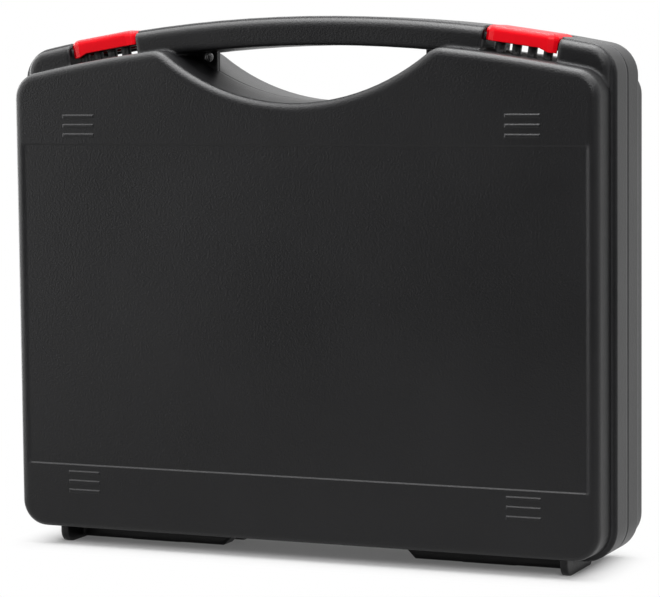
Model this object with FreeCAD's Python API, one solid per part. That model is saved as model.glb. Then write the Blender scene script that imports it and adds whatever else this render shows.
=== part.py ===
"""Hard tool case: two moulded half shells on a two-part hinge, closed by two hooked latches.

Frame: +X to the right seen from the front, +Y to the back, +Z up, millimetres.
The origin is on the floor, midway between the feet, in the plane where the shells meet.
The front shell is the lid, the rear shell is the base, and the case stands closed on its feet.
"""
import FreeCAD
import Part
import os
import math

V = FreeCAD.Vector

# Overall size
case_width = 390.0          # over the rim, left to right
case_height = 330.0         # floor to the top of the handle
shell_depth = 45.0          # parting plane to the flat face of one shell
parting_gap = 0.3           # between the two shells
overrun = 5.0               # how far a cutting tool runs past the material

# Walls of the mouldings
wall = 2.5
rib = 1.8
parting_bevel = 0.6

# Rim band that runs round both shells
band_half = 21.3            # parting plane to the band's outer face
rim_bottom = 7.7            # underside of the rim above the floor
rim_corner = 20.0
rim_bevel = 0.5             # along the outer edge of the rim's face
edge_steps = 3              # narrow bevels that make one rounded edge

# Brow: the handle and the corner blocks stand in front of the rim
brow_reach = 5.1            # in front of the rim's face
brow_step = 1.3             # below the top of the rim
brow_corner = 14.0
brow_edge_round = 4.4

# Dish: the deep pan of each shell, inside the rim
rim_step = 2.8              # the rim stands this far outside the dish at the parting plane
dish_draft = 1.0            # how much the dish narrows from the parting plane to its face
dish_edge_round = 4.5
crown_radius = 905.0        # curve of the top edge, handle included
band_height = 14.0          # top of the band above the top of the dish
cutout_drop = 51.1          # top of the handle to the lowest point of the finger cut-out
cutout_overlap = 2.2        # the cut-out ends this far inside the solid ends of the handle
shoulder_round = 15.0       # where the cut-out turns into the top edge

# Panel and grip marks on the flat faces
panel_side_margin = 9.5     # side of the case to the side of the panel
panel_low = 51.6
panel_drop = 76.8           # top of the handle to the top of the panel
panel_depth = 0.6
panel_slope = 0.9           # width of the sloped border of the panel
mark_length = 22.0
mark_height = 2.6
mark_pitch = 5.8
mark_rows = 3
mark_proud = 0.5
mark_slope = 0.8            # width of the sloped sides of a mark
mark_side_margin = 49.5     # side of the case to the middle of a group of marks
mark_under = 10.4           # lower edge of the panel to the middle mark below it
mark_over = 11.1            # upper edge of the panel to the middle mark above it

# Handle
handle_height = 17.6        # top to underside
handle_block_length = 22.7  # solid end of the handle, from the finger opening to the latch bay
handle_edge_round = 3.0
handle_rib_count = 4

# Webs that close the ends of the finger opening, with a hole for a padlock
web_thickness = 4.4         # both shells together
web_width = 22.2            # from the solid end of the handle to the web's inner edge
lock_hole_radius = 3.1
lock_hole_inset = 5.6       # inner edge of the web to the hole
lock_hole_drop = 24.0       # top of the handle to the hole

# Latch bays and latches, drawn at the top of the arc and swung out to their place
latch_side_margin = 56.3    # side of the case to the middle of a latch
bay_half = 24.0
latch_half = 22.7
latch_front = 26.0          # parting plane to the latch's front face
latch_back = 5.0            # parting plane to the latch's rear face
latch_wall = 2.2
latch_top_wall = 2.4
latch_proud = 0.8           # latch top above the band
latch_edge_round = 4.0
latch_swing_gap = 0.5       # behind the latch when it stands upright
skirt_depth = 8.4           # top of the band to the lower edge of the latch
lip_depth = 10.4            # the same at the finger lip
lip_length = 5.0
lip_slope_length = 6.0
latch_facet_length = 6.0    # ends of the latch's front that turn back a little
latch_facet_drop = 1.2
latch_corner_cut = 2.6      # bevel at the front corners
hook_height = 1.6
hook_gap = 0.3              # between the hook and the catch rail

# Pins of the latches
latch_pin_radius = 1.25
latch_pin_back = 2.5        # parting plane to the pin
latch_pin_deep = 5.0        # top of the band to the pin
pin_gap = 0.05              # running clearance round a pin
pin_fit = 0.02              # the same where a pin is held

# Catch comb on the lid
rail_front = 21.5           # parting plane to the rail's front face
rail_width = 4.0
rail_top = 5.0              # top of the band to the top of the rail
rail_height = 3.8
post_front = 22.2           # parting plane to the front face of the posts
post_width = 4.4
post_pitch = 9.8
post_count = 4
post_shift = 1.6            # posts stand this far outwards of the middle of the bay
rail_clearance = 1.0        # round the rail in the latch's end walls

# Locating lip of the base inside the lid
lip_reach = 2.8
lip_root = 5.0
lip_wall = 1.2
lip_gap = 0.4
lip_drop = 70.0             # top of the handle to the upper ends of the ribs

# Hinge under the case
hinge_back = 8.5            # hinge line behind the parting plane
hinge_high = 4.0            # hinge line above the floor
hinge_pin_radius = 1.5
knuckle_radius = 3.2
knuckle_top_gap = 0.5       # arms of the lid under the rim of the base
knuckle_count = 3
knuckle_gap = 0.4           # between neighbouring knuckles
hinge_side_margin = 31.0    # side of the case to the outer end of the hinge
hinge_length = 106.0
hinge_bar_low = 1.0
hinge_bar_front = 13.0      # parting plane to the front face of the lid's bar
base_bar_gap = 4.0          # hinge line to the front face of the base's bar
base_bar_back = 22.0
pin_end_gap = 0.5

# Feet: fins at the outer ends of the hinge
foot_thickness = 4.4
foot_gap = 0.3              # between the lid's fin and the base's fin
foot_reach = 34.5           # parting plane to the outer edge of a fin
foot_round = 8.0
ear_gap = 0.3               # round the ear of a fin
pin_seat = 2.4              # how deep the hinge bore enters the base's fin

# Places that follow from the sizes above
face = parting_gap / 2
half_width = case_width / 2
crown_centre = case_height - crown_radius
dish_half_width = half_width - rim_step
dish_bottom = rim_bottom + rim_step
dish_top_radius = crown_radius - band_height
dish_corner = rim_corner - rim_step
underside_radius = crown_radius - handle_height
latch_out = half_width - latch_side_margin
latch_swing = math.degrees(math.asin(latch_out / crown_radius))
handle_block_out = latch_out - bay_half - handle_block_length
web_in = handle_block_out - web_width
lock_hole_out = web_in + lock_hole_inset
lock_hole_high = case_height - lock_hole_drop
cutout_low = case_height - cutout_drop
cutout_half = handle_block_out - cutout_overlap
cutout_rise = crown_centre + math.sqrt(dish_top_radius ** 2 - cutout_half ** 2) - cutout_low
cutout_radius = (cutout_half ** 2 + cutout_rise ** 2) / 2 / cutout_rise
cutout_centre = cutout_low + cutout_radius
panel_half_width = half_width - panel_side_margin
panel_high = case_height - panel_drop
mark_out = half_width - mark_side_margin
hinge_bar_out = half_width - hinge_side_margin
hinge_bar_in = hinge_bar_out - hinge_length
ear_radius = hinge_high
brow_front = band_half + brow_reach
latch_boss_radius = latch_back - latch_pin_back
bridge_front = latch_pin_back + latch_pin_deep + latch_proud + latch_swing_gap
rail_low = rail_top + rail_height
foot_outer = hinge_bar_out + foot_gap + foot_thickness
knuckle_top = rim_bottom - knuckle_top_gap


def arc(centre_x, centre_z, radius, start, end, y):
    """One arc in the plane y, from the start angle to the end angle in degrees."""
    points = []
    for angle in (start, (start + end) / 2, end):
        turn = math.radians(angle)
        points.append(V(centre_x + radius * math.cos(turn), y, centre_z + radius * math.sin(turn)))
    return Part.Arc(*points).toShape()


def line_between(first, second):
    """A straight edge from the end of one edge to the start of the next."""
    return Part.LineSegment(first.lastVertex(True).Point, second.firstVertex(True).Point).toShape()


def angle_of(x, z):
    return math.degrees(math.atan2(z, x))


def case_outline(y, inset, width_half, bottom, top_radius, corner, cutout=False):
    """Closed outline of the case seen from the front, drawn inwards by the inset.

    The top follows the crown, and a cut-out for the fingers can be taken from it.
    """
    x = width_half - inset
    low = bottom + inset
    top = top_radius - inset
    bend = corner - inset
    side_top = crown_centre + math.sqrt((top - bend) ** 2 - (x - bend) ** 2)
    reach = angle_of(x - bend, side_top - crown_centre)
    arcs = [arc(x - bend, low + bend, bend, -90, 0, y)]
    arcs.append(arc(x - bend, side_top, bend, 0, reach, y))
    if cutout:
        dip = cutout_radius + inset
        turn = shoulder_round - inset
        near = top - turn
        far = dip + turn
        lift = near ** 2 - far ** 2 - crown_centre ** 2 + cutout_centre ** 2
        shoulder_z = lift / 2 / (cutout_centre - crown_centre)
        shoulder_x = math.sqrt(near ** 2 - (shoulder_z - crown_centre) ** 2)
        upper = angle_of(shoulder_x, shoulder_z - crown_centre)
        lower = angle_of(shoulder_x, shoulder_z - cutout_centre)
        arcs.append(arc(0, crown_centre, top, reach, upper, y))
        arcs.append(arc(shoulder_x, shoulder_z, turn, upper, lower + 180, y))
        arcs.append(arc(0, cutout_centre, dip, lower, -180 - lower, y))
        arcs.append(arc(-shoulder_x, shoulder_z, turn, -lower, 180 - upper, y))
        arcs.append(arc(0, crown_centre, top, 180 - upper, 180 - reach, y))
    else:
        arcs.append(arc(0, crown_centre, top, reach, 180 - reach, y))
    arcs.append(arc(-x + bend, side_top, bend, 180 - reach, 180, y))
    arcs.append(arc(-x + bend, low + bend, bend, 180, 270, y))
    bottom_line = line_between(arcs[-1], arcs[0])
    right_line = line_between(arcs[0], arcs[1])
    left_line = line_between(arcs[-2], arcs[-1])
    edges = [bottom_line, arcs[0], right_line] + arcs[1:-1] + [left_line, arcs[-1]]
    return Part.Wire(edges)


def rim_outline(y, inset):
    return case_outline(y, inset, half_width, rim_bottom, crown_radius, rim_corner)


def dish_outline(y, inset):
    return case_outline(y, inset, dish_half_width, dish_bottom, dish_top_radius, dish_corner, True)


def brow_outline(y, inset):
    """Front of the handle and the corner blocks: in line with the dish at the sides."""
    width = dish_half_width - dish_draft / 2
    radius = crown_radius - brow_step
    return case_outline(y, inset, width, dish_bottom + brow_step, radius, brow_corner)


def mouth_outline(y, inset):
    """Inside of the rim band: as wide as the rim, but no higher than the dish."""
    return case_outline(y, inset, half_width, rim_bottom, dish_top_radius, rim_corner, True)


def loft(wires):
    return Part.makeLoft(wires, True, True)


def box(x0, x1, y0, y1, z0, z1):
    """A block between two corners given as low and high values."""
    return Part.makeBox(x1 - x0, y1 - y0, z1 - z0, V(x0, y0, z0))


def rod(radius, start, end):
    """A round rod from one point to another."""
    way = end - start
    return Part.makeCylinder(radius, way.Length, start, way)


def crown_band(inner, outer, x0, x1, y0, y1):
    """A piece of the ring between two radii about the crown's centre, cut at two planes of x."""
    centre = V(0, y0, crown_centre)
    depth = y1 - y0
    ring = Part.makeCylinder(outer, depth, centre, V(0, 1, 0))
    ring = ring.cut(Part.makeCylinder(inner, depth, centre, V(0, 1, 0)))
    return ring.common(box(x0, x1, y0, y1, 0, case_height + overrun))


def quarter_round(radius):
    """Steps round a quarter circle: how far in from the side and how far back from the face."""
    steps = []
    for step in range(edge_steps + 1):
        turn = math.pi / 2 * step / edge_steps
        steps.append((radius * (1 - math.cos(turn)), radius * (1 - math.sin(turn))))
    return steps


def rounded_body(outline, near, far, draft, radius):
    """Body through outlines between two depths, with its front edge rounded in narrow bevels."""
    sections = [outline(-near, 0)]
    for inward, back in quarter_round(radius):
        sections.append(outline(-far + back, draft + inward))
    return loft(sections)


def edges_where(shape, test):
    return [edge for edge in shape.Edges if test(edge)]


def mirror_x(shape):
    return shape.mirror(V(0, 0, 0), V(1, 0, 0))


def mirror_y(shape):
    return shape.mirror(V(0, 0, 0), V(0, 1, 0))


def both_sides(shape):
    """The shape and its mirror image on the other side of the case."""
    return shape.fuse(mirror_x(shape))


def swing_out(shape):
    """Carry a shape from the top of the arc to the right latch bay."""
    moved = shape.copy()
    moved.rotate(V(0, 0, crown_centre), V(0, 1, 0), latch_swing)
    return moved


# Common half: everything that the two shells share, drawn for the front shell

def rim_plate():
    """The rim band as a plate with a bevel at the parting plane and another at its face."""
    return loft([
        rim_outline(-face, parting_bevel),
        rim_outline(-face - parting_bevel, 0),
        rim_outline(-band_half + rim_bevel, 0),
        rim_outline(-band_half, rim_bevel),
    ])


def brow_plate():
    """Handle front and corner blocks, as a plate with a rounded edge in front of the rim."""
    plate = rounded_body(brow_outline, parting_bevel, brow_front, 0, brow_edge_round)
    return plate.common(box(-half_width, half_width, -brow_front, 0, cutout_low, case_height))


def handle_underside():
    """Solid below the handle's underside, with the handle's lower front edge left round."""
    axis = V(0, 1, 0)
    start = -brow_front - overrun
    outer = underside_radius + handle_edge_round
    pieces = [Part.makeCylinder(outer, overrun, V(0, start, crown_centre), axis)]
    steps = quarter_round(handle_edge_round)
    for (inward, back), (next_inward, next_back) in zip(steps, steps[1:]):
        near = V(0, -brow_front + next_back, crown_centre)
        pieces.append(Part.makeCone(underside_radius + next_inward, underside_radius + inward,
                                    back - next_back, near, axis))
    rest = V(0, -brow_front + handle_edge_round, crown_centre)
    solid = Part.makeCylinder(underside_radius, brow_front - handle_edge_round + overrun, rest, axis)
    return solid.fuse(pieces)


def finger_opening():
    """Space under the handle, down to well below the top of the dish."""
    block = box(-handle_block_out, handle_block_out, -brow_front - overrun, overrun,
                cutout_low - overrun, case_height)
    return block.common(handle_underside())


def bay_slot(y0, y1, shallow):
    """Slot across the band for the right latch, from a depth below the top down into the dish."""
    low = case_height - band_height - overrun
    return swing_out(box(-bay_half, bay_half, y0, y1, low, case_height - shallow))


def open_bay():
    """The lid's bay: open at the front and at the top."""
    return bay_slot(-brow_front - overrun, overrun, -overrun)


def bridged_bay():
    """The base's bay, drawn for the front: open near the parting plane, bridged at its face."""
    slot = bay_slot(-bridge_front, overrun, -overrun)
    under_roof = bay_slot(-brow_front + wall, overrun, wall)
    window = bay_slot(-brow_front - overrun, overrun, skirt_depth)
    return slot.fuse([under_roof, window])


def dish_body():
    """The deep pan of a shell with its front edge rounded."""
    return rounded_body(dish_outline, face, shell_depth, dish_draft, dish_edge_round)


def dish_hollow():
    """Inside of the dish: straight sides, one wall inside the dish at its face."""
    inset = wall + dish_draft
    return loft([dish_outline(overrun, inset), dish_outline(-shell_depth + wall, inset)])


def mouth_hollow():
    """Inside of the rim band round the mouth of the case."""
    return loft([mouth_outline(overrun, wall), mouth_outline(-band_half + wall, wall)])


def corner_pocket():
    """Hollow of the right corner block, open towards the other shell."""
    start = latch_out + bay_half + wall
    depth = -brow_front + wall
    plate = loft([brow_outline(overrun, wall), brow_outline(depth, wall)])
    pocket = plate.common(box(start, half_width, depth, overrun, cutout_low, case_height))
    solid_dish = loft([dish_outline(overrun, 0), dish_outline(depth - overrun, 0)])
    return pocket.cut(solid_dish)


def handle_pocket():
    """Hollow of the handle and of its two end blocks, open towards the other shell."""
    end = latch_out - bay_half - wall
    depth = -brow_front + wall
    top = crown_radius - brow_step - wall
    grip = crown_band(underside_radius + wall, top, -end, end, depth, overrun)
    block_start = handle_block_out + wall
    block = crown_band(dish_top_radius, top, block_start, end, depth, overrun)
    pocket = grip.fuse(both_sides(block))
    step = 2 * handle_block_out / (handle_rib_count + 1)
    for index in range(handle_rib_count):
        middle = -handle_block_out + step * (index + 1)
        pocket = pocket.cut(box(middle - rib / 2, middle + rib / 2, depth, -rib, cutout_low, case_height))
    return pocket


def lock_web():
    """Right web: a thin plate at the parting plane with the hole for a padlock."""
    half = web_thickness / 2
    plate = box(web_in, handle_block_out + wall, -half, -face, cutout_low, case_height)
    centre = V(0, -half, crown_centre)
    plate = plate.common(Part.makeCylinder(underside_radius + wall, half, centre, V(0, 1, 0)))
    hole = rod(lock_hole_radius, V(lock_hole_out, -half - overrun, lock_hole_high),
               V(lock_hole_out, overrun, lock_hole_high))
    hollow = loft([dish_outline(overrun, wall / 2), dish_outline(-band_half, wall / 2)])
    return plate.cut(hole).cut(hollow)


def face_block(x, z, half_x, half_z, reach, slope):
    """A block across the flat face with sloped sides; a positive slope widens it outwards."""
    return Part.makeWedge(x - half_x - slope, -shell_depth - reach, z - half_z - slope,
                          z - half_z + slope, x - half_x + slope,
                          x + half_x + slope, -shell_depth + reach, z + half_z + slope,
                          z + half_z - slope, x + half_x - slope)


def panel_recess():
    """Shallow field with a sloped border on the flat face."""
    middle = (panel_low + panel_high) / 2
    half_height = (panel_high - panel_low) / 2
    return face_block(0, middle, panel_half_width, half_height, panel_depth, panel_slope)


def grip_marks():
    """Three raised bars with sloped sides near each corner of the flat face."""
    marks = []
    for height in (panel_low - mark_under, panel_high + mark_over):
        for side in (-1, 1):
            for row in range(mark_rows):
                z = height + (row - (mark_rows - 1) / 2) * mark_pitch
                marks.append(face_block(side * mark_out, z, mark_length / 2, mark_height / 2,
                                        mark_proud, -mark_slope))
    return marks


def common_half(bay):
    """One shell without its own hinge, latch and lip parts, with the given latch bays."""
    band = rim_plate().fuse(brow_plate())
    band = band.cut(finger_opening()).cut(both_sides(bay))
    shell = band.fuse(dish_body())
    shell = shell.cut(dish_hollow()).cut(mouth_hollow())
    shell = shell.cut(both_sides(corner_pocket())).cut(handle_pocket())
    shell = shell.fuse(both_sides(lock_web()))
    shell = shell.cut(panel_recess())
    return shell.fuse(grip_marks())


# Hinge and feet

def knuckle_spans(first):
    """Start and end along x of every second knuckle, counted from the given one."""
    pitch = (hinge_bar_out - hinge_bar_in - wall) / knuckle_count
    spans = []
    for index in range(first, knuckle_count, 2):
        start = hinge_bar_in + wall + index * pitch
        spans.append((start + knuckle_gap / 2, start + pitch - knuckle_gap / 2))
    return spans


def hinge_bar(end, y0, y1):
    """A bar under the rim with its inner end cut at 45 degrees."""
    height = rim_bottom - hinge_bar_low
    bar = box(hinge_bar_in, end, y0, y1, hinge_bar_low, rim_bottom + wall / 2)
    corner = Part.makePolygon([
        V(hinge_bar_in, y0, hinge_bar_low),
        V(hinge_bar_in + height, y0, hinge_bar_low),
        V(hinge_bar_in, y0, rim_bottom),
        V(hinge_bar_in, y0, hinge_bar_low),
    ])
    return bar.cut(Part.Face(corner).extrude(V(0, y1 - y0, 0)))


def lid_knuckle(x0, x1):
    """An arm of the lid that reaches back to the hinge line under the base's rim."""
    arm = box(x0, x1, -hinge_bar_front, hinge_back, hinge_high - knuckle_radius, knuckle_top)
    return arm.fuse(rod(knuckle_radius, V(x0, hinge_back, hinge_high), V(x1, hinge_back, hinge_high)))


def base_knuckle(x0, x1):
    """A barrel of the base with its web up to the rim."""
    barrel = rod(knuckle_radius, V(x0, hinge_back, hinge_high), V(x1, hinge_back, hinge_high))
    web = box(x0, x1, hinge_back, hinge_back + base_bar_gap + wall, hinge_high - knuckle_radius,
              rim_bottom + wall / 2)
    roof = box(x0, x1, hinge_back - knuckle_radius, hinge_back, hinge_high, rim_bottom + wall / 2)
    return barrel.fuse([web, roof])


def fin_profile(x, end_y, ear_y, top_out, top_in):
    """Side view of a fin: a round outer toe, a flat sole and an ear round the hinge line."""
    toe = math.copysign(foot_round, end_y)
    to_ear = math.copysign(ear_radius, ear_y - end_y)
    diagonal = math.sqrt(0.5)
    edges = [
        Part.LineSegment(V(x, end_y, top_out), V(x, end_y, foot_round)).toShape(),
        Part.Arc(V(x, end_y, foot_round),
                 V(x, end_y - toe * (1 - diagonal), foot_round * (1 - diagonal)),
                 V(x, end_y - toe, 0)).toShape(),
        Part.LineSegment(V(x, end_y - toe, 0), V(x, ear_y, 0)).toShape(),
        Part.Arc(V(x, ear_y, 0),
                 V(x, ear_y + to_ear, hinge_high),
                 V(x, ear_y, hinge_high + ear_radius)).toShape(),
        Part.LineSegment(V(x, ear_y, hinge_high + ear_radius), V(x, ear_y, top_in)).toShape(),
        Part.LineSegment(V(x, ear_y, top_in), V(x, end_y, top_out)).toShape(),
    ]
    return Part.Face(Part.Wire(edges))


def lid_fin():
    """Right fin of the lid, outside the base's fin, its ear on the hinge line."""
    x = hinge_bar_out + foot_gap
    high = dish_bottom + dish_draft + dish_edge_round
    fin = fin_profile(x, -foot_reach, hinge_back, high, high).extrude(V(foot_thickness, 0, 0))
    behind = box(x - overrun, foot_outer + overrun, -face, hinge_back + ear_radius,
                 knuckle_top, high + overrun)
    ear = rod(ear_radius, V(x, hinge_back, hinge_high), V(foot_outer, hinge_back, hinge_high))
    return fin.cut(behind).fuse(ear)


def base_fin():
    """Right fin of the base, inside the lid's fin."""
    x = hinge_bar_out - foot_thickness
    high = dish_bottom + dish_draft + dish_edge_round
    return fin_profile(x, foot_reach, hinge_back, high, high).extrude(V(foot_thickness, 0, 0))


def hinge_pin():
    """Right hinge pin, from the inner end of the hinge into the base's fin."""
    start = hinge_bar_in + wall + pin_end_gap
    end = hinge_bar_out - foot_thickness + pin_seat - pin_end_gap
    return rod(hinge_pin_radius, V(start, hinge_back, hinge_high), V(end, hinge_back, hinge_high))


def hinge_bore(radius):
    """Tool for the bore of the right hinge, open at the inner end."""
    end = hinge_bar_out - foot_thickness + pin_seat
    return rod(radius, V(hinge_bar_in - overrun, hinge_back, hinge_high), V(end, hinge_back, hinge_high))


def cavity_solid():
    """The whole inside of one shell, to keep outer parts out of it."""
    return dish_hollow().fuse(mouth_hollow())


# Latch parts, drawn at the top of the arc

def at_crown(x0, x1, y0, y1, deep, shallow):
    """A block at the top of the arc between two depths below the band's top."""
    return box(x0, x1, y0, y1, case_height - deep, case_height - shallow)


def catch_comb():
    """Rail that the right latch hooks over, on its posts."""
    back = -rail_front + rail_width
    foot = band_height + wall / 2
    reach = bay_half + wall / 2
    comb = at_crown(-reach, reach, -rail_front, back, rail_low, rail_top)
    for index in range(post_count):
        middle = post_shift + (index - (post_count - 1) / 2) * post_pitch
        comb = comb.fuse(at_crown(middle - post_width / 2, middle + post_width / 2, -post_front, back,
                                  foot, rail_low))
    return swing_out(comb)


def latch_pin():
    """Right latch pin, held at both ends in the walls of the base's bay."""
    reach = bay_half + wall
    z = case_height - latch_pin_deep
    return swing_out(rod(latch_pin_radius, V(-reach, latch_pin_back, z), V(reach, latch_pin_back, z)))


def latch_pin_bore(radius, reach):
    """Tool for a bore round the right latch pin."""
    z = case_height - latch_pin_deep
    return rod(radius, V(-reach, latch_pin_back, z), V(reach, latch_pin_back, z))


def skirt_trim():
    """Tool that shapes the lower edge of the latch, with the finger lip at the outer end."""
    base = case_height - skirt_depth
    low = case_height - lip_depth
    under = low - overrun
    lip_start = latch_half - lip_length
    points = [
        V(-latch_half - overrun, 0, base),
        V(lip_start - lip_slope_length, 0, base),
        V(lip_start, 0, low),
        V(latch_half + overrun, 0, low),
        V(latch_half + overrun, 0, under),
        V(-latch_half - overrun, 0, under),
        V(-latch_half - overrun, 0, base),
    ]
    front = Part.Face(Part.makePolygon(points))
    front.translate(V(0, -latch_front - overrun, 0))
    front_depth = latch_wall + latch_facet_drop
    front_tool = front.extrude(V(0, front_depth + overrun, 0))
    rest = box(-latch_half - overrun, latch_half + overrun, -latch_front + front_depth,
               latch_back + overrun, under, base)
    return front_tool.fuse(rest)


def latch_block(inset, low, top):
    """Upright block with the latch's outline seen from above, drawn inwards by the inset."""
    side = latch_half - inset
    bend = latch_half - latch_facet_length
    front = -latch_front + inset
    rear = latch_back - inset
    corner = front + latch_facet_drop
    right = [V(side, rear, low), V(side, corner + latch_corner_cut, low),
             V(side - latch_corner_cut, corner, low), V(bend, front, low)]
    left = [V(-point.x, point.y, low) for point in reversed(right)]
    outline = Part.makePolygon(right + left + right[:1])
    return Part.Face(outline).extrude(V(0, 0, top - low))


def latch_body():
    """Right latch: a cover over the bay with a hook behind its front skirt."""
    top = case_height + latch_proud
    low = case_height - lip_depth
    cover = latch_block(0, low, top)
    upper = edges_where(cover, lambda edge: edge.BoundBox.ZMin > top - latch_proud)
    cover = cover.makeFillet(latch_edge_round, upper)
    inside = latch_block(latch_wall, low - overrun, top - latch_top_wall - latch_proud)
    cover = cover.cut(inside).cut(skirt_trim())
    hook_half = latch_half - latch_facet_length
    hook = at_crown(-hook_half, hook_half, -latch_front + latch_wall / 2, -rail_front - hook_gap,
                    skirt_depth, skirt_depth - hook_height)
    notch = at_crown(-latch_half - overrun, latch_half + overrun, -rail_front - rail_clearance,
                     -rail_front + rail_width + rail_clearance, lip_depth, rail_top - rail_clearance)
    z = case_height - latch_pin_deep
    bosses = []
    for side in (-1, 1):
        outer = side * latch_half
        bosses.append(rod(latch_boss_radius, V(outer, latch_pin_back, z),
                          V(outer - side * latch_wall * 2, latch_pin_back, z)))
    cover = cover.cut(notch).fuse(bosses).fuse(hook)
    cover = cover.cut(latch_pin_bore(latch_pin_radius + pin_gap, latch_half + overrun))
    return swing_out(cover)


# The two shells

def front_shell():
    """The lid: common half with the catch combs, the hinge arms and the outer fins."""
    shell = common_half(open_bay())
    hinge = hinge_bar(hinge_bar_out + foot_gap, -hinge_bar_front, -face)
    for start, end in knuckle_spans(1):
        hinge = hinge.fuse(lid_knuckle(start, end))
    hinge = hinge.fuse(lid_fin()).cut(cavity_solid())
    hinge = hinge.cut(hinge_bore(hinge_pin_radius + pin_gap))
    return shell.fuse([both_sides(hinge), both_sides(catch_comb())]).removeSplitter()


def locating_lip():
    """Straight ribs along the base's sides and bottom that centre the lid when the case closes."""
    outer = wall + lip_gap
    inner = outer + lip_wall
    straight = half_width - rim_corner
    side_low = rim_bottom + rim_corner
    ribs = []
    for start, out in ((-lip_reach, outer), (face, wall / 2)):
        side = box(half_width - inner, half_width - out, start, lip_root, side_low,
                   case_height - lip_drop)
        ribs.append(both_sides(side))
        ribs.append(box(-straight, straight, start, lip_root, rim_bottom + out, rim_bottom + inner))
    return ribs[0].fuse(ribs[1:])


def rear_shell():
    """The base: common half turned round, with the lip, the hinge barrels and the inner fins."""
    shell = mirror_y(common_half(bridged_bay()))
    hinge = hinge_bar(hinge_bar_out, hinge_back + base_bar_gap, base_bar_back)
    for start, end in knuckle_spans(0):
        hinge = hinge.fuse(base_knuckle(start, end))
    hinge = hinge.fuse(base_fin()).cut(mirror_y(cavity_solid()))
    hinge = hinge.cut(hinge_bore(hinge_pin_radius + pin_fit))
    ear_room = rod(ear_radius + ear_gap, V(hinge_bar_out + foot_gap / 2, hinge_back, hinge_high),
                   V(foot_outer + foot_gap, hinge_back, hinge_high))
    shell = shell.cut(both_sides(ear_room))
    bores = swing_out(latch_pin_bore(latch_pin_radius + pin_fit, bay_half + wall + overrun))
    shell = shell.cut(both_sides(bores))
    return shell.fuse([both_sides(hinge), locating_lip()]).removeSplitter()


def main():
    os.makedirs("parts", exist_ok=True)
    parts = {
        "front_shell": front_shell(),
        "rear_shell": rear_shell(),
        "right_latch": latch_body(),
        "right_latch_pin": latch_pin(),
        "right_hinge_pin": hinge_pin(),
    }
    for name in ("latch", "latch_pin", "hinge_pin"):
        parts["left_" + name] = mirror_x(parts["right_" + name])
    for name, shape in parts.items():
        shape.exportStep("parts/" + name + ".step")
        size = shape.BoundBox
        print(name, "solids", len(shape.Solids), "valid", shape.isValid(), "volume", round(shape.Volume),
              "box", [round(value, 1) for value in (size.XMin, size.XMax, size.YMin, size.YMax,
                                                    size.ZMin, size.ZMax)])


main()
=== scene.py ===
# %% [markdown]
# # Dressing a hard tool case for its photograph
# The case is two moulded plastic half shells with a handle, two red latches and a hinge underneath.
# Its solids come ready made from CAD, each at its real place and size, so Blender adds the finishes,
# the studio and the camera. First the solids are loaded, and the size of the whole is noted, because
# nothing added later may make the case bigger.

# %% Load the solids
import math

import bpy
from mathutils import Matrix, Vector


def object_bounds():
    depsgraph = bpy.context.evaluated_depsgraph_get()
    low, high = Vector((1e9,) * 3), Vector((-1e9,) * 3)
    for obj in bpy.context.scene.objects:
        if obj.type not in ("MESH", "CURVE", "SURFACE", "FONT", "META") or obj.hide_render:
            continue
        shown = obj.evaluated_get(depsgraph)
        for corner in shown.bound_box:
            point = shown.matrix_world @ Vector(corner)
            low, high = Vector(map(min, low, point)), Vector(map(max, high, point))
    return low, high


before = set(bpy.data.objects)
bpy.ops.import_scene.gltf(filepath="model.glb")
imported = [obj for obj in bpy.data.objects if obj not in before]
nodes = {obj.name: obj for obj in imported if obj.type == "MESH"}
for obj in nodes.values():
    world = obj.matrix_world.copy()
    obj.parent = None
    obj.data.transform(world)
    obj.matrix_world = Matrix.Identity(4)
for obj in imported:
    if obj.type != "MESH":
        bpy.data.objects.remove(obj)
cad_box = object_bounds()
half_width, half_depth = cad_box[1][:2]
print("solids:", sorted(nodes))
print("size of the case in metres:", [round(high - low, 4) for low, high in zip(*cad_box)])

# %% [markdown]
# A finish is a small network of shader nodes. Wiring nodes by hand is long to read, so a small class
# stands for one output socket, and writing `1 - mask * 0.5` adds the Math nodes for it. Two more
# methods hold a value between limits, or let it rise from a starting point along a straight slope.

# %% Sockets that add, subtract and multiply
class Value:
    """One output socket of a network, with arithmetic."""

    def __init__(self, network, socket):
        self.network = network
        self.socket = socket

    def maths(self, operation, first, second):
        return self.network.maths(operation, first, second)

    def __add__(self, other):
        return self.maths("ADD", self, other)

    def __radd__(self, other):
        return self.maths("ADD", other, self)

    def __sub__(self, other):
        return self.maths("SUBTRACT", self, other)

    def __rsub__(self, other):
        return self.maths("SUBTRACT", other, self)

    def __mul__(self, other):
        return self.maths("MULTIPLY", self, other)

    def __rmul__(self, other):
        return self.maths("MULTIPLY", other, self)

    def larger(self, other):
        return self.maths("MAXIMUM", self, other)

    def between(self, low, high):
        """The value held between two numbers."""
        return self.maths("MINIMUM", self, high).larger(low)

    def rising(self, start, slope, low, high):
        """A straight slope that crosses zero at start, held between two numbers."""
        return ((self - start) * slope).between(low, high)


print("sockets know", [name for name in vars(Value) if not name.startswith("__")])

# %% [markdown]
# A second class holds a network of nodes, of a material or of the world. Its one method `node` adds any
# node: first its settings, then its inputs by name, or by number where two inputs share a name.

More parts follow.
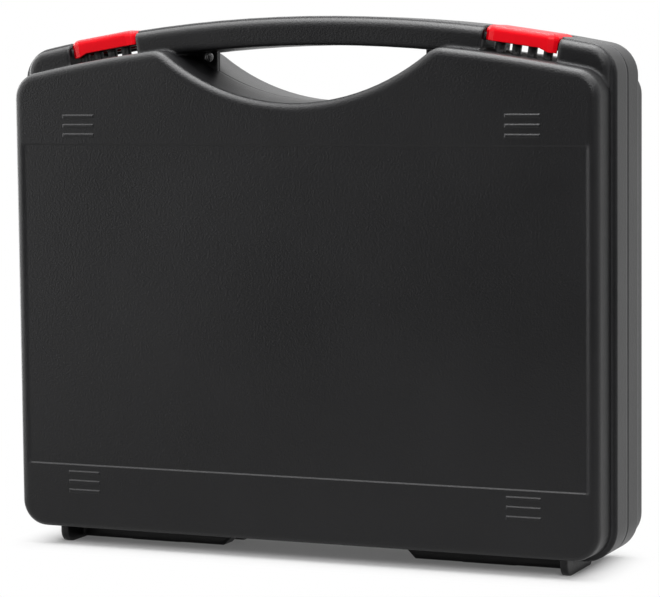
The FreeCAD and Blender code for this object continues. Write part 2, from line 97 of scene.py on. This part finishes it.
# %% Networks of nodes
class Network:
    """The nodes of a material or of the world."""

    def __init__(self, tree):
        self.tree = tree

    def node(self, kind, output=0, settings=None, **inputs):
        """Adds a node of that kind and gives back one of its outputs."""
        node = self.tree.nodes.new("ShaderNode" + kind)
        for name, value in (settings or {}).items():
            setattr(node, name, value)
        for name, value in inputs.items():
            self.feed(node.inputs[self.find(node, name)], value)
        return Value(self, node.outputs[output])

    @staticmethod
    def find(node, name):
        """The place of an input by its name, or by its number in a name such as _6."""
        if name.startswith("_"):
            return int(name[1:])
        wanted = name.replace("_", " ").lower()
        return [slot.name.lower() for slot in node.inputs].index(wanted)

    def feed(self, slot, value):
        if isinstance(value, Value):
            self.tree.links.new(value.socket, slot)
        else:
            slot.default_value = value

    def maths(self, operation, first, second=0):
        return self.node("Math", settings={"operation": operation}, _0=first, _1=second)

    def arrows(self, operation, first, second=(0, 0, 0), output=0):
        """Vector Math, for places and directions."""
        return self.node("VectorMath", output=output, settings={"operation": operation},
                         _0=first, _1=second)

    def parts(self, vector):
        """The X, Y and Z of a vector."""
        return [self.node("SeparateXYZ", output=axis, Vector=vector) for axis in "XYZ"]

    def mix(self, factor, first, second):
        """A colour between two colours."""
        return self.node("Mix", output=2, settings={"data_type": "RGBA"}, _0=factor, _6=first, _7=second)

    def rays(self, *kinds):
        """One for rays of these kinds, such as what the camera sees, and zero for the rest."""
        return sum(self.node("LightPath", output=f"Is {kind} Ray") for kind in kinds).between(0, 1)


print("a network adds nodes with", [name for name in vars(Network) if not name.startswith("__")])

# %% [markdown]
# A finish is a network round the Principled shader, which stands for almost any real surface. It reads
# the place of a point from the solid itself, so the grain moves along when the lid or a latch swings.

# %% Finishes
class Finish(Network):
    """One material."""

    def __init__(self, name):
        self.material = bpy.data.materials.new(name)
        self.material.use_nodes = True
        super().__init__(self.material.node_tree)
        self.shader = self.tree.nodes["Principled BSDF"]
        self.out = self.tree.nodes["Material Output"]

    def set(self, **inputs):
        """Sets or links inputs of the Principled shader."""
        for name, value in inputs.items():
            self.feed(self.shader.inputs[self.find(self.shader, name)], value)

    def place(self):
        """Where a point lies in metres, carried along when the piece moves."""
        return self.node("TexCoord", output="Object")

    def wear(self, *names):
        """Puts the finish in every material slot of these solids."""
        for name in names:
            for slot in nodes[name].material_slots:
                slot.material = self.material
        print(self.material.name, "on", ", ".join(names))


print("a finish can also", [name for name in vars(Finish) if not name.startswith("__")])

# %% [markdown]
# No moulded edge is sharp. The solids round theirs in a few flat steps, and a Bevel node turns the
# shading smoothly across them. One radius doesn't suit all: the long outer roundings need a few
# millimetres, while the thin frame line and the grip marks on the flat faces would drown in that. A
# mask finds the flat faces by their place, and the two radii are mixed by it.

# %% Rounded edges
FACE_HALF_WIDTH = 0.1835
FACE_FRONT = 0.0438
FACE_FOOT = 0.0195
FACE_HEAD = 0.2725
THIN_EDGE = 0.0003


def on_flat_face(finish):
    """One on the flat faces inside the rounded edges, where small forms stay crisp."""
    x, y, z = finish.parts(finish.place())
    inside = finish.maths("LESS_THAN", finish.maths("ABSOLUTE", x), FACE_HALF_WIDTH)
    inside *= finish.maths("GREATER_THAN", finish.maths("ABSOLUTE", y), FACE_FRONT)
    inside *= finish.maths("GREATER_THAN", z, FACE_FOOT)
    return inside * finish.maths("LESS_THAN", z, FACE_HEAD)


def rounded_normal(finish, edge):
    """The normal, turned smoothly across the edges."""
    thin = finish.node("Bevel", settings={"samples": 4}, Radius=THIN_EDGE)
    wide = finish.node("Bevel", settings={"samples": 6}, Radius=edge)
    return finish.node("Mix", output=1, settings={"data_type": "VECTOR"}, _0=on_flat_face(finish),
                       _4=wide, _5=thin)


print("thin edges in mm:", THIN_EDGE * 1000)

# %% [markdown]
# The shells are moulded in a charcoal plastic. The mould is spark eroded, which leaves a fine even
# grain of about a millimetre. It shows most on the rounded edges, where each tiny facet catches the
# light by itself. A picture of the grain would blur, so noise makes it: fine noise and pits for the
# grain, and a broad one for the slow change of sheen over the big faces. Where the rounded normal
# leaves the flat one there is an edge, and there handling has rubbed the grain paler and smoother.

# %% Grained plastic
GRAINS_PER_METRE = 850.0
PITS_PER_METRE = 900.0
PATCHES_PER_METRE = 9.0
SCUFFS_PER_METRE = 140.0


def grained_plastic(name, dark, light, rubbed, roughness, gloss, depth, edge):
    """Plastic from a grained mould, between two close colours, with a third on rubbed edges."""
    finish = Finish(name)
    place = finish.place()
    grain = finish.node("TexNoise", Vector=place, Scale=GRAINS_PER_METRE, Detail=2.0, Roughness=0.6)
    pits = finish.node("TexVoronoi", Vector=place, Scale=PITS_PER_METRE)
    broad = finish.node("TexNoise", Vector=place, Scale=PATCHES_PER_METRE, Detail=3.0, Roughness=0.55)
    scuffs = finish.node("TexNoise", Vector=place, Scale=SCUFFS_PER_METRE, Detail=4.0, Roughness=0.7)
    normal = rounded_normal(finish, edge)
    flat = finish.node("NewGeometry", output="True Normal")
    turn = finish.arrows("DOT_PRODUCT", normal, flat, output="Value")
    worn = ((1 - turn) * 7 * (scuffs * 1.6 - 0.35)).between(0, 1)
    speckle = ((grain - 0.5) * 0.9 + (broad - 0.5) * 0.8 + 0.5).between(0, 1)
    bump = finish.node("Bump", Strength=1.0, Distance=depth, Height=grain * 0.7 + pits * 0.3,
                       Normal=normal)
    finish.set(
        Base_Color=finish.mix(worn, finish.mix(speckle, dark, light), rubbed),
        Roughness=roughness + (broad - 0.5) * 0.16 - worn * 0.08,
        Specular_IOR_Level=gloss,
        Normal=bump,
    )
    return finish


shell_plastic = grained_plastic(
    "charcoal_grained_plastic",
    dark=(0.0032, 0.0032, 0.0036, 1),
    light=(0.0068, 0.0068, 0.0074, 1),
    rubbed=(0.026, 0.026, 0.028, 1),
    roughness=0.38, gloss=0.23, depth=0.00020, edge=0.0034,
)
shell_plastic.wear("front_shell", "rear_shell")

# %% [markdown]
# The latches are red and smoother than the shells: a satin plastic that keeps soft highlights along
# its rounded edges. It comes from the same kind of mould, so the same function makes it, with hardly
# any grain and a smaller edge radius.

# %% Red satin plastic
latch_plastic = grained_plastic(
    "red_satin_plastic",
    dark=(0.85, 0.001, 0.009, 1),
    light=(0.92, 0.003, 0.012, 1),
    rubbed=(0.86, 0.02, 0.02, 1),
    roughness=0.34, gloss=0.17, depth=0.00002, edge=0.0008,
)
latch_plastic.wear("left_latch", "right_latch")

# %% [markdown]
# The pins are cut from drawn steel wire. Drawing leaves fine lines along the wire, so the noise is
# stretched along it, and it changes only the roughness.

# %% Drawn steel
ALONG_WIRE = 60.0
ACROSS_WIRE = 1500.0


def drawn_steel(name):
    finish = Finish(name)
    stretched = finish.node("Mapping", Vector=finish.place(), Scale=(ALONG_WIRE, ACROSS_WIRE, ACROSS_WIRE))
    lines = finish.node("TexNoise", Vector=stretched, Scale=1.0, Detail=2.0)
    finish.set(Base_Color=(0.62, 0.61, 0.60, 1), Metallic=1.0, Roughness=0.25 + lines * 0.2)
    return finish


pin_steel = drawn_steel("drawn_steel")
pin_steel.wear("left_latch_pin", "right_latch_pin", "left_hinge_pin", "right_hinge_pin")

# %% [markdown]
# The case stands on a plain white studio floor that meets a white background. The floor has to keep the
# soft shadow under the case, so close by it shows its own lit colour. Further out plain white takes
# over, so that no edge of the floor shows. The fade starts at the feet of the case and is short,
# because the shadow of a broad soft light is short.

# %% Floor finish
def fading_white(foot_print, fade, whiteness):
    """A pale finish that turns to plain white beyond a fade round the foot print."""
    finish = Finish("studio_floor")
    finish.set(Base_Color=(0.86, 0.86, 0.86, 1), Roughness=0.9)
    white = finish.node("Emission", Color=(1, 1, 1, 1), Strength=1.0)
    beside = finish.arrows("SUBTRACT", finish.arrows("ABSOLUTE", finish.place()), foot_print)
    away = finish.arrows("LENGTH", finish.arrows("MAXIMUM", beside), output="Value")
    spread = (away * (1 / fade)).between(0, 1)
    spread = spread * (2 - spread)
    share = finish.rays("Camera", "Glossy", "Transmission") * (whiteness + spread * (1 - whiteness))
    lit = Value(finish, finish.shader.outputs[0])
    finish.feed(finish.out.inputs["Surface"], finish.node("MixShader", _0=share, _1=lit, _2=white))
    print("floor fades to white over", fade, "metres")
    return finish


feet = (half_width - 0.025, half_depth - 0.010, 0)
floor_finish = fading_white(feet, fade=0.036, whiteness=0.10)

# %% [markdown]
# The floor itself is one flat round face. A round one has no corner that could show in another view,
# and it is wide enough to hide the lid, which hangs below the floor when it is swung fully open.

# %% Floor
def studio_floor(radius, sides=96):
    ring = [(radius * math.cos(math.tau * i / sides), radius * math.sin(math.tau * i / sides), 0)
            for i in range(sides)]
    mesh = bpy.data.meshes.new("floor")
    mesh.from_pydata(ring, [], [list(range(sides))])
    mesh.materials.append(floor_finish.material)
    floor = bpy.data.objects.new("floor", mesh)
    bpy.context.scene.collection.objects.link(floor)
    print("floor radius", radius)
    return floor


floor = studio_floor(0.8)

# %% [markdown]
# Dark plastic shows what stands round it. In a studio a white sweep stands behind, a broad soft light
# hangs above, a narrower one stands on the left, and the side of the photographer is dark. The world
# repeats that for reflections, by direction. For the camera it is plain white, and for the light
# itself a low even level.

# %% World
def studio_world(level, front_level):
    world = bpy.data.worlds.new("studio")
    world.use_nodes = True
    network = Network(world.node_tree)
    network.tree.nodes.clear()
    right, back, up = network.parts(network.node("TexCoord", output="Generated"))
    left = right * -1
    behind = back.rising(start=-0.8182, slope=1.1, low=front_level, high=0.88)
    at_left = left.rising(start=0.4, slope=10, low=0, high=4.0)
    above = up.rising(start=0.4, slope=15, low=0, high=12.0)
    mirrored = network.rays("Glossy", "Transmission")
    seen = network.rays("Camera")
    around = mirrored * behind.larger(at_left).larger(above) + (1 - mirrored) * level
    light = network.node("Background", Color=(1, 1, 1, 1), Strength=seen + (1 - seen) * around)
    end = network.tree.nodes.new("ShaderNodeOutputWorld")
    network.feed(end.inputs["Surface"], light)
    bpy.context.scene.world = world
    print("world light level", level)


studio_world(level=0.26, front_level=0.02)

# %% [markdown]
# The light is soft. A broad panel in front on the right lights the big face from where its mirror
# image misses the camera, one overhead makes the top edges pale, and one on the right the end face.
# Each panel is an area lamp aimed at the middle of the case.

# %% Light panels
target = Vector((0, 0, 0.17))


def panel(name, place, width, height, watts):
    lamp = bpy.data.lights.new(name, "AREA")
    lamp.shape = "RECTANGLE"
    lamp.size = width
    lamp.size_y = height
    lamp.energy = watts
    holder = bpy.data.objects.new(name, lamp)
    holder.location = place
    holder.rotation_euler = (target - Vector(place)).to_track_quat("-Z", "Y").to_euler()
    bpy.context.scene.collection.objects.link(holder)
    print(name, "watts", watts)


panel("front_panel", place=(1.1, -1.9, 1.5), width=1.0, height=1.0, watts=32)
panel("overhead_panel", place=(0.05, 0.0, 1.5), width=1.3, height=0.6, watts=18)
panel("right_panel", place=(2.0, 0.2, 0.8), width=1.2, height=1.4, watts=4)

# %% [markdown]
# The camera stands where the photographer stood. Its place and angles were solved from the outline of
# the case in the photograph. Turning, tilting and rolling it one after another gives the three
# directions of its frame.

# %% Camera
def camera_matrix(place, turn, tilt, roll):
    """Matrix of a camera that looks along +Y, turned to the left, tilted down and rolled."""
    forward = Vector((
        -math.sin(turn) * math.cos(tilt),
        math.cos(turn) * math.cos(tilt),
        -math.sin(tilt),
    ))
    level = Vector((math.cos(turn), math.sin(turn), 0))
    upright = level.cross(forward)
    right = level * math.cos(roll) + upright * math.sin(roll)
    up = upright * math.cos(roll) - level * math.sin(roll)
    turned = Matrix((right, up, -forward)).transposed().to_4x4()
    return Matrix.Translation(place) @ turned


lens = bpy.data.cameras.new("camera")
lens.sensor_width = 36.0
lens.lens = 144.14
lens.clip_end = 100.0
camera = bpy.data.objects.new("camera", lens)
camera.matrix_world = camera_matrix(
    place=(0.65185, -1.48818, 0.3010), turn=0.41052, tilt=0.08853, roll=-0.01014
)
bpy.context.scene.collection.objects.link(camera)
bpy.context.scene.camera = camera
bpy.context.scene.view_settings.view_transform = "Standard"
print("camera at", tuple(round(v, 3) for v in camera.matrix_world.translation))
